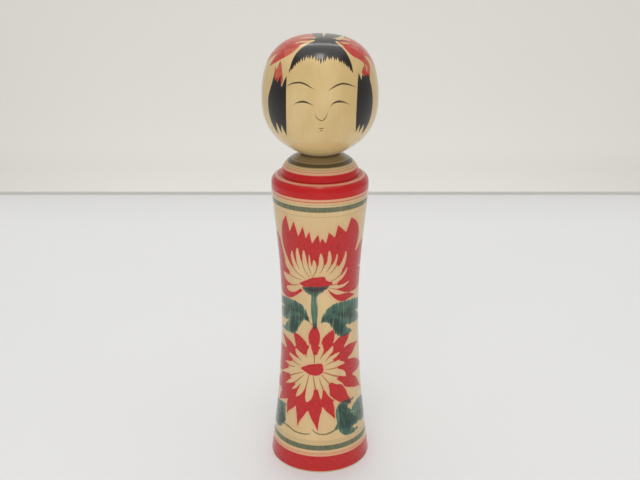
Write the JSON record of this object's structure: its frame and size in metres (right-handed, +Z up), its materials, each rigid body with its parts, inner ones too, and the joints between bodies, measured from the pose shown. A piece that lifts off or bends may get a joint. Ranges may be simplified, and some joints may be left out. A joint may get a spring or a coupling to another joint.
{
  "type": "kokeshi doll",
  "caption": "Turned wooden kokeshi doll with a waisted body, a stepped collar and a rounded head on a snap-in neck that turns, painted with flowers and rings.",
  "frame": {"origin": "centre of the round base, on the surface the doll stands on", "axes": "+Z up along the turning axis, -Y towards where the face looks, +X to the right of someone looking at the face"},
  "size_m": [0.061, 0.061, 0.242],
  "materials": {
    "painted_body": "turned pale hardwood with brushed red and green dye, waxed to a soft sheen",
    "painted_head": "turned pale hardwood with black ink hair, red ribbons and a brushed face, waxed to a soft sheen"
  },
  "bodies": {
    "body": {"body": "painted_body"},
    "head": {"head": "painted_head"}
  },
  "joints": [
    {"name": "head_turn", "type": "hinge", "parent": "body", "child": "head", "pos_m": [0, 0, 0.1804], "axis": [0, 0, 1], "continuous": true}
  ]
}
